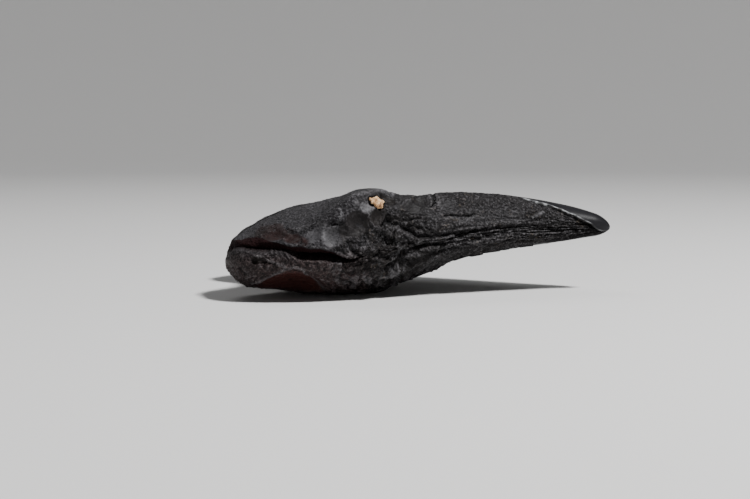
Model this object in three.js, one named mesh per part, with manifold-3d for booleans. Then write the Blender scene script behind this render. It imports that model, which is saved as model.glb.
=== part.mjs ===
// A fossil megalodon tooth, worn and broken along one side, lying on its lingual face as it comes to rest.
// Millimetres. +X runs from the root lobes to the tip, +Y from the broken side to the whole cutting edge,
// +Z up through the labial face. The origin is under the middle of the tooth, on the surface it rests on.
//
// The tooth is one solid, a skin over closed sections. A section is walked by the angle phi: 0 at the whole
// edge, a quarter turn over the labial face, a half turn to the broken side, and back under the lingual face.
import * as THREE from 'three';
import { mergeVertices } from 'three/addons/utils/BufferGeometryUtils.js';
import Module from 'manifold-3d';

// Driving dimensions
const LENGTH = 134.4;             // root lobe to tip
const NOTCH_DEPTH = 17;           // how far the hollow between the root lobes runs in
const NOTCH_WIDTH = 0.34;         // its half width, as a share of the tooth's half width
const NOTCH_POWER = 2.6;          // how square its floor is
const LOBE_CORNER = 15;           // how far the outer corner of a lobe is rounded back
const BROKEN_LOBE_SHORTER = 2.2;  // the lobe on the broken side ends this much short
const LABIAL_ROUND = 3.6;         // rounding of the root's base, labial and lingual
const LINGUAL_ROUND = 8.5;
const TIP_ROUND = 5.5;            // rounding of the worn tip
const GAP = 0.35;                 // clear space between the sediment and its pocket

// Curves along the tooth: [distance from the longer lobe's end, value]
const LABIAL_HEIGHT = [
  [0, 18.6], [7.6, 22.1], [13.2, 24.9], [22.6, 28.4], [30, 30], [38, 31.8], [46, 33.2], [54, 33.4],
  [62, 32.6], [72, 32.8], [82, 32.9], [92, 32.6], [102, 31.9], [112, 30.8], [122, 29], [134.4, 25.2],
];
const RIM_HEIGHT = [              // how far the labial face rises towards the broken side
  [0, 0], [30, 0], [37, 1.6], [44, 5], [50, 6.4], [56, 5.8], [62, 4.2], [72, 4.3], [82, 4.2], [92, 3.6],
  [102, 2.6], [112, 1.5], [122, 0.5], [134.4, 0],
];
const LINGUAL_HEIGHT = [
  [0, 4.4], [8.4, 2.2], [20, 1], [32, -0.3], [45, -1], [54, -0.6], [59, 1], [63, 2.9], [67.8, 4.7],
  [73.6, 7.1], [79, 9.9], [85, 11.6], [91, 12.8], [104, 15], [119, 17.2], [127.2, 18.6], [134.4, 19.6],
];
const BROKEN_SIDE_HEIGHT = [      // mid-height of the broken side
  [0, 12], [45, 17], [65, 18.8], [80, 22], [100, 23.4], [125, 23.2], [134.4, 22.1],
];
const WHOLE_SIDE_HEIGHT = [       // height of the cutting edge, and of the root's side behind it
  [0, 12], [30, 15], [52, 19], [66, 21.5], [85, 25], [105, 25.4], [125, 23.8], [134.4, 22.1],
];
const BROKEN_SIDE = [
  [0, -41], [22, -42.5], [36, -42.3], [48, -39.5], [58, -35], [66, -30.5], [80, -23.5], [95, -16.2],
  [110, -9.4], [122, -4.6], [134.4, -1],
];
const WHOLE_SIDE = [
  [0, 45], [25, 47], [42, 46.8], [52, 45], [60, 42.4], [68, 39.4], [82, 32.4], [95, 25], [110, 16.4],
  [122, 9.8], [134.4, 4],
];
const LABIAL_BLUNTNESS = [        // the broken side's section, from boxy at 0.4 to an ellipse at 1
  [0, 0.8], [30, 0.75], [46, 0.6], [80, 0.55], [108, 0.55], [124, 0.8], [134.4, 0.9],
];
const LINGUAL_BLUNTNESS = [
  [0, 0.7], [20, 0.8], [36, 0.85], [52, 1], [64, 1], [76, 0.75], [110, 0.65], [124, 0.8], [134.4, 0.9],
];
const SHOULDER = [[0, 0], [30, 0], [46, 0.5], [98, 0.5], [116, 0], [134.4, 0]];  // squares its upper corner
const CUTTING_EDGE_POWER = 2.1;   // above 1 the whole side draws out into an edge

// Hollows worn into the broken side: [distance from the lobe's end, height, bowl radius, depth]
const SCOOPS = [
  [40.2, 22.1, 4.4, 2.1],
  [49, 25.5, 6.6, 2.2],
  [69.7, 32.6, 5.4, 2.6],
];
const PIT = [57.2, 34, 3.2, 2.6];       // round boring above the sediment
const POCKET = [54.4, 32.7, 2.7, 4];    // where the sediment sits
const POCKET_STRETCH = 1.55;            // how much longer than wide it is
const POCKET_TILT = 0.42;               // how far its length falls towards the tip, in radians
const SEDIMENT_UNEVENNESS = 0.16;       // share of its radius

// Mouth of the cleft in the root, seen square to the broken side, and how it runs inwards
const CLEFT_MOUTH = [
  [-4, 15.8], [4, 16], [8, 17.1], [16, 16.7], [24, 16.8], [28, 14.6], [34, 13.9], [43, 13.2], [48, 14.2],
  [54, 16.4], [49, 15.6], [45, 15.2], [41, 16.7], [34, 19], [28, 19.1], [21, 20.3], [14, 20.5], [7, 19.7], [-4, 19],
];
const CLEFT_DEPTH = 13;
const CLEFT_NARROWING = 0.4;           // share of its height lost at the bottom
const CLEFT_RISE = 0.16;               // how far it climbs for each millimetre inwards
const CLEFT_MIDDLE = [[0, 18], [20, 18], [54, 15.4]];

// Mesh density
const SECTIONS = 46;
const POINTS_PER_SECTION = 54;
const END_SECTIONS = 5;
const TYPICAL_SECTION = 60;            // where the points of a section are spaced evenly
const OUTSIDE = 8;                     // how far a cutter starts outside the tooth

const { abs, sin, cos, exp, sqrt, max, min, PI } = Math;
const smooth = (low, high, value) => THREE.MathUtils.smoothstep(value, low, high);
const mix = THREE.MathUtils.lerp;

// A smooth curve through [distance, value] points, as a function of the distance.
function along(points) {
  const slope = points.map((p, i) => {
    const a = points[max(i - 1, 0)];
    const b = points[min(i + 1, points.length - 1)];
    return (b[1] - a[1]) / (b[0] - a[0]);
  });
  return (s) => {
    const at = min(max(s, points[0][0]), points.at(-1)[0]);
    const i = max(points.findIndex((p) => p[0] >= at), 1);
    const [s0, v0] = points[i - 1];
    const [s1, v1] = points[i];
    const h = s1 - s0;
    const k = (at - s0) / h;
    return (2 * k ** 3 - 3 * k ** 2 + 1) * v0 + (k ** 3 - 2 * k ** 2 + k) * h * slope[i - 1]
      + (3 * k ** 2 - 2 * k ** 3) * v1 + (k ** 3 - k ** 2) * h * slope[i];
  };
}

const labialHeight = along(LABIAL_HEIGHT);
const lingualHeight = along(LINGUAL_HEIGHT);
const brokenSideHeight = along(BROKEN_SIDE_HEIGHT);
const wholeSideHeight = along(WHOLE_SIDE_HEIGHT);
const brokenSide = along(BROKEN_SIDE);
const wholeSide = along(WHOLE_SIDE);
const rimHeight = along(RIM_HEIGHT);
const labialBluntness = along(LABIAL_BLUNTNESS);
const lingualBluntness = along(LINGUAL_BLUNTNESS);
const shoulder = along(SHOULDER);
const cleftMiddle = along(CLEFT_MIDDLE);

// Where the root's base is, by the share t of the half width: two lobes with a hollow between them.
function baseLine(t) {
  const notch = NOTCH_DEPTH * exp(-((abs(t) / NOTCH_WIDTH) ** NOTCH_POWER));
  const outwards = max(0, (abs(t) - 0.5) / 0.5);
  const corner = LOBE_CORNER * (1 - sqrt(max(0, 1 - outwards ** 2)));
  return notch + corner + BROKEN_LOBE_SHORTER * smooth(0.1, 0.5, -t);
}

const rounded = (distance, radius) => sqrt(max(0, 1 - (1 - min(max(distance / radius, 0), 1)) ** 2));

// How far across the section the angle phi is, from -1 on the broken side to 1 at the whole edge.
function across(s, phi) {
  const t = cos(phi);
  return t > 0 || sin(phi) < 0 ? t : t * (1 + shoulder(s) * (1 - t * t));
}

// The point of the tooth's skin at a distance s from the lobe's end and an angle phi round the section.
function skin(s, phi) {
  const t = across(s, phi);
  const labial = sin(phi) >= 0;
  const crown = smooth(50, 72, s);
  const tip = rounded(LENGTH - s, TIP_ROUND);
  const base = rounded(s - baseLine(cos(phi)), labial ? LABIAL_ROUND : LINGUAL_ROUND);
  const middle = mix(brokenSideHeight(s), wholeSideHeight(s), smooth(-0.6, 0.7, cos(phi)));
  const blunt = labial ? labialBluntness(s) : lingualBluntness(s);
  const power = mix(blunt, mix(1, CUTTING_EDGE_POWER, crown), smooth(-0.2, 0.6, cos(phi)));
  const rim = rimHeight(s) * smooth(-0.1, 0.75, -cos(phi));
  const face = labial ? labialHeight(s) + rim : lingualHeight(s);
  const centre = (brokenSide(s) + wholeSide(s)) / 2;
  const half = (wholeSide(s) - brokenSide(s)) / 2;
  const height = middle + (face - middle) * abs(sin(phi)) ** power * tip * base;
  return new THREE.Vector3(s, centre + t * half * tip, max(height, 0));
}

// Shares of the length at which the sections lie, closer together where both ends round off.
function sectionShares() {
  const start = LINGUAL_ROUND / LENGTH;
  const end = TIP_ROUND / LENGTH;
  const shares = [];
  for (let i = 0; i < END_SECTIONS; i++) shares.push(start * (1 - cos((i / END_SECTIONS) * PI / 2)));
  for (let i = 0; i <= SECTIONS; i++) shares.push(mix(start, 1 - end, i / SECTIONS));
  for (let i = 1; i < END_SECTIONS; i++) shares.push(1 - end + end * sin((i / END_SECTIONS) * PI / 2));
  return shares;
}

// Angles that space a typical section's points evenly. They mirror, so that the base folds flat.
function sectionAngles() {
  const fine = 600;
  const upper = [0];
  for (let i = 1; i <= fine; i++) {
    const step = skin(TYPICAL_SECTION, (i / fine) * PI).distanceTo(skin(TYPICAL_SECTION, ((i - 1) / fine) * PI));
    upper.push(upper[i - 1] + step);
  }
  const half = POINTS_PER_SECTION / 2;
  const angles = [];
  for (let j = 0; j <= half; j++) {
    const wanted = (j / half) * upper[fine];
    const i = max(upper.findIndex((length) => length >= wanted), 1);
    angles.push(((i - 1 + (wanted - upper[i - 1]) / (upper[i] - upper[i - 1])) / fine) * PI);
  }
  const lower = angles.slice(1, half).reverse().map((phi) => 2 * PI - phi);
  return [...angles, ...lower];
}

// The whole skin as one closed mesh. The first section is folded flat along the base, and the tip is a point.
function toothGeometry() {
  const angles = sectionAngles();
  const shares = sectionShares();
  const n = angles.length;
  const places = [];
  const faces = [];
  for (const share of shares) {
    for (const phi of angles) places.push(...skin(mix(baseLine(cos(phi)), LENGTH, share), phi).toArray());
  }
  places.push(...skin(LENGTH, 0).toArray());
  const at = (i, j) => {
    const k = j % n;
    return i === 0 ? min(k, n - k) : i * n + k;
  };
  for (let j = 0; j < n; j++) {
    for (let i = 0; i + 1 < shares.length; i++) {
      faces.push(at(i, j), at(i + 1, j + 1), at(i + 1, j));
      faces.push(at(i, j), at(i, j + 1), at(i + 1, j + 1));
    }
    faces.push(at(shares.length - 1, j), at(shares.length - 1, j + 1), shares.length * n);
  }
  const geometry = new THREE.BufferGeometry();
  geometry.setAttribute('position', new THREE.Float32BufferAttribute(places, 3));
  geometry.setIndex(faces);
  return geometry;
}

// The centre of a bowl worn into the broken side at a distance and a height, so that it is depth deep.
function bowl([s, height, radius, depth]) {
  let low = PI / 2;
  let high = PI;
  for (let i = 0; i < 40; i++) {
    const phi = (low + high) / 2;
    if (skin(s, phi).z > height) low = phi;
    else high = phi;
  }
  const round = skin(s, low + 0.02).sub(skin(s, low - 0.02));
  const forward = skin(s + 0.5, low).sub(skin(s - 0.5, low));
  const out = round.cross(forward).normalize();
  if (out.y > 0) out.negate();
  return { centre: skin(s, low).addScaledVector(out, radius - depth), radius };
}

const wasm = await Module();
wasm.setup();

function withoutSeams(geometry) {
  const bare = geometry.clone();
  bare.deleteAttribute('normal');
  bare.deleteAttribute('uv');
  return mergeVertices(bare, 1e-4);
}

function solidFrom(geometry) {
  const closed = withoutSeams(geometry);
  return new wasm.Manifold(new wasm.Mesh({
    numProp: 3,
    vertProperties: closed.attributes.position.array,
    triVerts: new Uint32Array(closed.index.array),
  }));
}

function geometryFrom(solid) {
  const mesh = solid.getMesh();
  const geometry = new THREE.BufferGeometry();
  geometry.setAttribute('position', new THREE.BufferAttribute(mesh.vertProperties, 3));
  geometry.setIndex(new THREE.BufferAttribute(mesh.triVerts, 1));
  geometry.computeVertexNormals();
  return geometry;
}

// The pocket is a bowl drawn out along the tooth and tilted. Its matrix turns a unit ball into it, less a gap.
function pocketMatrix(gap) {
  const { centre, radius } = bowl(POCKET);
  return new THREE.Matrix4().makeRotationY(POCKET_TILT)
    .scale(new THREE.Vector3(radius * POCKET_STRETCH - gap, radius - gap, radius - gap))
    .setPosition(centre);
}

function ball({ centre, radius }) {
  return solidFrom(new THREE.SphereGeometry(radius, 18, 12).translate(centre.x, centre.y, centre.z));
}

// The cleft's cutter: its mouth pushed inwards from outside the broken side, narrowing and climbing.
function cleftCutter() {
  const mouth = new THREE.Shape(CLEFT_MOUTH.map(([s, z]) => new THREE.Vector2(s, z)));
  const reach = OUTSIDE + CLEFT_DEPTH;
  const cutter = withoutSeams(new THREE.ExtrudeGeometry(mouth, { depth: reach, bevelEnabled: false }));
  const place = cutter.attributes.position;
  const outside = brokenSide(CLEFT_DEPTH) - OUTSIDE;
  for (let i = 0; i < place.count; i++) {
    const inwards = place.getZ(i);
    const s = place.getX(i);
    const height = mix(place.getY(i), cleftMiddle(s), CLEFT_NARROWING * inwards / reach);
    place.setXYZ(i, s, outside + inwards, height + CLEFT_RISE * max(0, inwards - OUTSIDE));
  }
  // Swapping two axes turned every face inside out, so each is turned back.
  const faces = cutter.index.array;
  for (let i = 0; i < faces.length; i += 3) [faces[i + 1], faces[i + 2]] = [faces[i + 2], faces[i + 1]];
  return solidFrom(cutter);
}

function toothSolid() {
  const pocket = solidFrom(new THREE.SphereGeometry(1, 18, 12).applyMatrix4(pocketMatrix(0)));
  const cutters = [cleftCutter(), ...[...SCOOPS, PIT].map((place) => ball(bowl(place))), pocket];
  return cutters.reduce((tooth, cutter) => tooth.subtract(cutter), solidFrom(toothGeometry()));
}

// An uneven lump of sandy sediment that sits in its pocket without touching it.
function sedimentGeometry() {
  const lump = withoutSeams(new THREE.IcosahedronGeometry(1, 3));
  const place = lump.attributes.position;
  for (let i = 0; i < place.count; i++) {
    const p = new THREE.Vector3().fromBufferAttribute(place, i).normalize();
    const uneven = sin(5 * p.x + 1) * sin(4 * p.y + 2) * sin(6 * p.z);
    p.multiplyScalar(1 - SEDIMENT_UNEVENNESS * (0.5 + 0.5 * uneven));
    place.setXYZ(i, p.x, p.y, p.z);
  }
  return lump.applyMatrix4(pocketMatrix(GAP));
}

const toothMaterial = new THREE.MeshStandardMaterial({ color: 0x2e2d30, roughness: 0.55, metalness: 0 });
const sedimentMaterial = new THREE.MeshStandardMaterial({ color: 0xb9926d, roughness: 0.95, metalness: 0 });

const tooth = new THREE.Mesh(geometryFrom(toothSolid()), toothMaterial);
tooth.name = 'tooth';
const sediment = new THREE.Mesh(sedimentGeometry(), sedimentMaterial);
sediment.name = 'sediment_plug';

// Both pieces are moved together so that the origin is under the middle of the tooth.
const atRest = new THREE.Group();
atRest.add(tooth, sediment);
const box = new THREE.Box3().setFromObject(tooth, true);
atRest.position.set(-(box.min.x + box.max.x) / 2, -(box.min.y + box.max.y) / 2, -box.min.z);

const fossil = new THREE.Group();
fossil.add(atRest);

export default fossil;
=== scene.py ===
"""The looks of a fossil megalodon tooth, lying on its lingual face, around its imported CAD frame.

Shapes are worked out in millimetres in the tooth's own terms: s runs from the end of the longer root lobe
to the tip, z is the height, and phi goes round a section, from the whole edge at 0 over the labial face, the
broken side at a half turn and back under the lingual face. They become metres in the CAD frame when a mesh
is made.
"""
import math

import bmesh
import bpy
import numpy as np
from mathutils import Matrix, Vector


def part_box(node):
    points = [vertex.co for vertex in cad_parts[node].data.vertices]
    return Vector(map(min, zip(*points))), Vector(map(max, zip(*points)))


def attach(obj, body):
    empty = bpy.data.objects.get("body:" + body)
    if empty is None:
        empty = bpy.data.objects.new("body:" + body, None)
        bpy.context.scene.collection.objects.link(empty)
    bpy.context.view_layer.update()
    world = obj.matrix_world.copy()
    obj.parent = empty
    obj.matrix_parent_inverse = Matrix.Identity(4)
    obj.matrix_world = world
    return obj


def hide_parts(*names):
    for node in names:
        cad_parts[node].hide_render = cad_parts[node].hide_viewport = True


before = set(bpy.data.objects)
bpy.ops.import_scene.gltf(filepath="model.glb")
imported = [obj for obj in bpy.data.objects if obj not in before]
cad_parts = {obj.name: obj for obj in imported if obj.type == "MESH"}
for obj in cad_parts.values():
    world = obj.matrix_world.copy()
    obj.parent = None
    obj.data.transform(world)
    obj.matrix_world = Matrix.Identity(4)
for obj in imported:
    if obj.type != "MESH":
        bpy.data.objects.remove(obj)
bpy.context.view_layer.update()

MM = 0.001
PI = math.pi


def along(points):
    """A smooth curve through (distance, value) points, as a function of the distance."""
    s, v = np.array(points, float).T
    n = len(s)
    before, after = np.maximum(np.arange(n) - 1, 0), np.minimum(np.arange(n) + 1, n - 1)
    slope = (v[after] - v[before]) / (s[after] - s[before])

    def value(at):
        at = np.clip(at, s[0], s[-1])
        i = np.clip(np.searchsorted(s, at), 1, n - 1)
        h = s[i] - s[i - 1]
        k = (at - s[i - 1]) / h
        return ((2 * k**3 - 3 * k**2 + 1) * v[i - 1] + (k**3 - 2 * k**2 + k) * h * slope[i - 1]
                + (3 * k**2 - 2 * k**3) * v[i] + (k**3 - k**2) * h * slope[i])

    return value


# The tooth's driving dimensions and curves over its length, as the CAD has them
LENGTH = 134.4
NOTCH_DEPTH, NOTCH_WIDTH, NOTCH_POWER = 17, 0.34, 2.6
LOBE_CORNER, BROKEN_LOBE_SHORTER = 15, 2.2
LABIAL_ROUND, LINGUAL_ROUND, TIP_ROUND = 3.6, 8.5, 5.5
CUTTING_EDGE_POWER = 2.1
labial_height = along([
    (0, 18.6), (7.6, 22.1), (13.2, 24.9), (22.6, 28.4), (30, 30), (38, 31.8), (46, 33.2), (54, 33.4),
    (62, 32.6), (72, 32.8), (82, 32.9), (92, 32.6), (102, 31.9), (112, 30.8), (122, 29), (134.4, 25.2),
])
rim_height = along([
    (0, 0), (30, 0), (37, 1.6), (44, 5), (50, 6.4), (56, 5.8), (62, 4.2), (72, 4.3), (82, 4.2), (92, 3.6),
    (102, 2.6), (112, 1.5), (122, 0.5), (134.4, 0),
])
lingual_height = along([
    (0, 4.4), (8.4, 2.2), (20, 1), (32, -0.3), (45, -1), (54, -0.6), (59, 1), (63, 2.9), (67.8, 4.7),
    (73.6, 7.1), (79, 9.9), (85, 11.6), (91, 12.8), (104, 15), (119, 17.2), (127.2, 18.6), (134.4, 19.6),
])
broken_side_height = along([(0, 12), (45, 17), (65, 18.8), (80, 22), (100, 23.4), (125, 23.2), (134.4, 22.1)])
whole_side_height = along([
    (0, 12), (30, 15), (52, 19), (66, 21.5), (85, 25), (105, 25.4), (125, 23.8), (134.4, 22.1),
])
broken_side = along([
    (0, -41), (22, -42.5), (36, -42.3), (48, -39.5), (58, -35), (66, -30.5), (80, -23.5), (95, -16.2),
    (110, -9.4), (122, -4.6), (134.4, -1),
])
whole_side = along([
    (0, 45), (25, 47), (42, 46.8), (52, 45), (60, 42.4), (68, 39.4), (82, 32.4), (95, 25), (110, 16.4),
    (122, 9.8), (134.4, 4),
])
labial_bluntness = along([(0, 0.8), (30, 0.75), (46, 0.6), (80, 0.55), (108, 0.55), (124, 0.8), (134.4, 0.9)])
lingual_bluntness = along([
    (0, 0.7), (20, 0.8), (36, 0.85), (52, 1), (64, 1), (76, 0.75), (110, 0.65), (124, 0.8), (134.4, 0.9),
])
shoulder = along([(0, 0), (30, 0), (46, 0.5), (98, 0.5), (116, 0), (134.4, 0)])

# Hollows of the broken side: distance, height, ball radius, depth, how far the ball's centre stands above
# the spot, which turns the hollow's floor up, and tint from -1, painted shade, to 1, painted light
BOWLS = [
    (20.5, 22.2, 7, 1.5, 0, 0), (26.5, 21.9, 6, 1.3, 0, 0), (33.4, 22.6, 10, 1.2, 1.5, 0.18),
    (26.8, 5.6, 22, 3, 0, 0), (14.2, 14.1, 1.5, 1.3, 0, -0.9), (16, 14.2, 1.1, 0.8, 0, -0.9),
    (43.4, 23.4, 3.4, 1.8, 0, -0.6), (39.9, 22, 4.8, 2.3, 1.2, 0.32), (47.8, 26.2, 9, 1.5, 0, -0.7),
    (54.8, 28, 4.5, 1.3, 0, -0.8), (50.2, 30.7, 3.4, 0.5, 2, 0.7), (51.9, 31.1, 3.4, 0.6, 2, 0.7),
    (66.8, 31.6, 8, 1.5, 0, 0), (69.3, 33.6, 4.4, 2.5, 0, 0), (77.8, 31.6, 16, 0.5, 1, 0.12),
    (53.2, 33.9, 2.2, 2.2, 0, -0.9), (54.7, 33.3, 2.2, 2.2, 0, -0.9), (55.3, 32, 1.6, 1.7, 0, -0.9),
    (60.2, 33, 4.2, 1, 0.5, 0.03), (57.2, 34.7, 2.3, 2.4, 0, -1), (58.9, 33.9, 2.4, 2, 0, -1),
]

# The middle of the brown scoop over the cleft: (s, z). Its brown is partly a stain and partly painted shade
# with painted reflected red light
BROWN_SCOOP = [(15, 22.2), (18, 22.9), (21.5, 23.3), (24.6, 22.6), (27.4, 21.6), (30, 20.4)]

# The cleft in the root: the heights of its lips, the share of the way down between them at which its
# undercut becomes the gap, and where across the tooth the gap's floor lies
cleft_upper_lip = along([
    (-4, 19), (4, 19.3), (8.4, 20.1), (13, 21.1), (16.7, 21.2), (19.2, 20.7), (22, 20.3), (24.4, 19.5),
    (26.7, 19), (33, 18.4), (38.1, 17.6), (42.1, 16.1), (45.1, 14.9), (50, 15.5), (56, 17),
])
cleft_lower_lip = along([
    (-4, 15.4), (4, 15.7), (8, 17.2), (12, 17), (16, 16.6), (24, 16.9), (26.4, 15.6), (28.4, 14.3),
    (34, 13.9), (42, 13.1), (45, 12.9), (48, 13.8), (50, 15.1), (56, 16.9),
])
cleft_undercut = along([
    (-4, 0.5), (9, 0.76), (15, 0.7), (21.5, 0.72), (25, 0.56), (29.3, 0.42), (36.7, 0.3), (44, 0.15), (56, 0),
])
cleft_floor = along([(0, -26), (12, -28), (24, -29.5), (36, -30), (44, -31.5), (50, -36.5), (56, -38)])
CLEFT_RISE = 0.16  # how far the gap climbs for each millimetre that it goes in
UNDERCUT_SLOPE = 1.5  # how far the undercut goes in for each millimetre down

# The mesh: rows and columns, rows in the rounded ends, the columns that the cleft's upper lip, gap and lower
# lip fall on, and the shares of the length over which they move there and back
ROWS, COLUMNS = 299, 330
START_ROWS, END_ROWS = 34, 8
CLEFT_COLUMNS = (134, 151, 159)
FIT_START, FIT_END = (0.02, 0.045), (0.40, 0.30)

SOFT_LIP = 0.25  # how softly a hollow's rim turns over


# ---- curves and noise

def smooth(low, high, value):
    """0 at low, 1 at high and a soft step in between; low may be above high."""
    k = np.clip((value - low) / (high - low), 0, 1)
    return k * k * (3 - 2 * k)


def span(value, start, first, last, end):
    """1 from first to last, 0 up to start and from end on, and soft steps between."""
    return smooth(start, first, value) * smooth(end, last, value)


def mix(a, b, share):
    """a where share is 0 and b where it is 1."""
    return a + (b - a) * share


def stacked(a, b=0, c=0):
    """Points of shape (..., 3) from a field and two fields or numbers."""
    return np.stack([a, 0 * a + b, 0 * a + c], -1)


def noise(points, seed):
    """Gradient noise from about -1 to 1 at points of shape (..., 3), in cells one unit wide."""
    rng = np.random.RandomState(seed)
    order = np.concatenate([rng.permutation(256)] * 2)
    gradients = rng.normal(size=(256, 3))
    gradients /= np.linalg.norm(gradients, axis=1)[:, None]
    cell = np.floor(points).astype(int)
    part = points - cell
    fade = part**3 * (part * (part * 6 - 15) + 10)
    total = np.zeros(points.shape[:-1])
    for corner in np.ndindex(2, 2, 2):
        c = [(cell[..., axis] + corner[axis]) & 255 for axis in range(3)]
        gradient = gradients[order[order[order[c[0]] + c[1]] + c[2]]]
        weight = 1
        for axis in range(3):
            weight *= fade[..., axis] if corner[axis] else 1 - fade[..., axis]
        total += weight * (gradient * (part - corner)).sum(-1)
    return total * 1.7


def lumps(points, seed):
    """Rounded lumps from 0 up, parted by sharp valleys at 0."""
    return np.abs(noise(points, seed))


def fractal(points, octaves, seed, gain=0.5, layer=noise):
    """Layers of noise, each twice as fine as the one before and gain times as strong."""
    total, size = 0, 1
    for k in range(octaves):
        total = total + size * layer(points * 2**k, seed + k)
        size *= gain
    return total


def creases(points, octaves, seed, gain=0.5):
    """Lumps upon lumps."""
    return fractal(points, octaves, seed, gain, lumps)


# ---- the tooth's skin

def base_line(t):
    """The distance at which the root begins, with t from -1 at the broken side to 1 at the whole edge."""
    notch = NOTCH_DEPTH * np.exp(-((np.abs(t) / NOTCH_WIDTH) ** NOTCH_POWER))
    outwards = np.clip((np.abs(t) - 0.5) / 0.5, 0, 1)
    corner = LOBE_CORNER * (1 - np.sqrt(1 - outwards**2))
    return notch + corner + BROKEN_LOBE_SHORTER * smooth(0.1, 0.5, -t)


def rounded(distance, radius):
    """A quarter of a round, from 0 at no distance to 1 at the radius."""
    return np.sqrt(1 - (1 - np.clip(distance / radius, 0, 1)) ** 2)


def skin(s, phi):
    """Points of the smooth tooth, as the CAD has it."""
    t = np.cos(phi)
    labial = np.sin(phi) >= 0
    across = np.where((t < 0) & labial, t * (1 + shoulder(s) * (1 - t * t)), t)
    crown = smooth(50, 72, s)
    tip = rounded(LENGTH - s, TIP_ROUND)
    base = rounded(s - base_line(t), np.where(labial, LABIAL_ROUND, LINGUAL_ROUND))
    middle = mix(broken_side_height(s), whole_side_height(s), smooth(-0.6, 0.7, t))
    blunt = np.where(labial, labial_bluntness(s), lingual_bluntness(s))
    power = mix(blunt, mix(1, CUTTING_EDGE_POWER, crown), smooth(-0.2, 0.6, t))
    rim = rim_height(s) * smooth(-0.1, 0.75, -t)
    face = np.where(labial, labial_height(s) + rim, lingual_height(s))
    centre = (broken_side(s) + whole_side(s)) / 2
    half = (whole_side(s) - broken_side(s)) / 2
    height = middle + (face - middle) * np.abs(np.sin(phi)) ** power * tip * base
    return np.stack([s + 0 * phi, centre + across * half * tip, np.maximum(height, 0)], -1)


def phi_at(s, z):
    """The angle at which the broken side's skin is z high at a distance s."""
    low, high = 0.5 * PI, 1.5 * PI
    for _ in range(40):
        phi = (low + high) / 2
        if skin(np.array(s, float), np.array(phi))[2] > z:
            low = phi
        else:
            high = phi
    return low


def skin_frame(s, z):
    """The point of the broken side at a distance and a height, and its outward normal."""
    phi = phi_at(s, z)

    def at(ds, dphi):
        return skin(np.array(s + ds, float), np.array(phi + dphi))

    out = np.cross(at(0, 0.02) - at(0, -0.02), at(0.5, 0) - at(-0.5, 0))
    out /= np.linalg.norm(out)
    return at(0, 0), out if out[1] < 0 else -out


def waver(s, seed):
    """A ragged line's deviation at distances s, in millimetres."""
    return 0.4 * noise(stacked(s / 3.4), seed) + 0.12 * noise(stacked(s / 1.9), seed + 1)


def cleft_heights(s):
    """Heights of the cleft's upper lip, of the start of its deep gap and of its lower lip."""
    upper = cleft_upper_lip(s) + waver(s, 95)
    lower = np.minimum(cleft_lower_lip(s) + waver(s, 97), upper - 0.05)
    return upper, mix(upper, lower, cleft_undercut(s)), lower


def row_shares():
    """How far along the tooth every row lies, closer together at the rounded ends."""
    start, end = LINGUAL_ROUND / LENGTH, TIP_ROUND / LENGTH
    first = np.linspace(0, PI / 2, START_ROWS, endpoint=False)
    last = np.linspace(0, PI / 2, END_ROWS, endpoint=False)[1:]
    middle = np.linspace(start, 1 - end, ROWS - START_ROWS - END_ROWS + 1)
    return np.concatenate([start * (1 - np.cos(first)), middle, 1 - end + end * np.sin(last)])


def row_angles(shares):
    """The angles of every row's points.

    They are evenly spaced round the section, closer on the broken side, the same above and below, and
    stretched so that the cleft's lips and gap fall on columns of their own.
    """
    fine = np.linspace(0, 2 * PI, 1441)
    middle = (fine[1:] + fine[:-1]) / 2
    facing = (fine > 0.5 * PI) & (fine < 1.5 * PI)
    base = base_line(np.cos(fine))
    rows, phi = [], [0.6 * PI] * 3
    for share in shares[::-1]:
        around = skin(mix(base, LENGTH, max(share, 0.03)), fine)
        near = span(middle / PI, 0.42, 0.52, 1.48, 1.58)
        step = np.linalg.norm(np.diff(around, axis=0), axis=1) + 1e-3
        density = (step + step[::-1]) * (1 + 2 * near)
        total = np.concatenate([[0], np.cumsum(density)]) / density.sum()
        s = mix(base, LENGTH, share)
        z = skin(s, fine)[:, 2]
        above = [facing & (z > height) for height in cleft_heights(s)]
        phi = [fine[mask].max() if mask.any() else before for mask, before in zip(above, phi)]
        natural = np.interp(phi, fine, total)
        fitted = smooth(*FIT_START, share) * smooth(*FIT_END, share)
        wanted = mix(natural, np.array(CLEFT_COLUMNS) / COLUMNS, fitted)
        total = np.interp(total, [0, *natural, 1], [0, *wanted, 1])
        rows.append(np.interp(np.arange(COLUMNS) / COLUMNS, total, fine))
    return np.array(rows[::-1])


def arc_lengths(points, phi, at):
    """How far round its own row each of the angles in at lies, in millimetres."""
    steps = np.linalg.norm(np.roll(points, -1, 1) - points, axis=-1)
    far = np.concatenate([0 * steps[:, :1], np.cumsum(steps, 1)], 1)
    angles = np.concatenate([phi, 2 * PI + 0 * phi[:, :1]], 1)
    return np.array([np.interp(a, p, f) for a, p, f in zip(at, angles, far)])


def normals_of(points):
    """Outward unit normals of a closed strip of rows."""
    along_rows = np.gradient(points, axis=0)
    round_rows = np.roll(points, -1, 1) - np.roll(points, 1, 1)
    out = np.cross(along_rows, round_rows)
    length = np.linalg.norm(out, axis=-1, keepdims=True)
    return -out / np.maximum(length, 1e-9)


# ---- carving

def carve_bowl(points, centre, out, radius):
    """Pushes what lies inside a ball in to the ball's far side. Returns the points and how deep each went."""
    offset = points - centre
    height = offset @ out
    wide = np.sqrt(np.maximum((offset**2).sum(-1) - height**2, 0))
    far = -np.sqrt(np.maximum(radius**2 - wide**2, 0))
    depth = np.where(wide < radius, height - far, (radius - wide) * 4)
    depth = np.where((height < radius * 1.5) & (height > -2 * radius), depth, 0)
    depth = (depth + np.sqrt(depth**2 + SOFT_LIP**2)) / 2 - SOFT_LIP * 0.02
    depth = np.where(wide < radius * 1.3, np.maximum(depth, 0), 0)
    return points - depth[..., None] * out, depth


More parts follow.
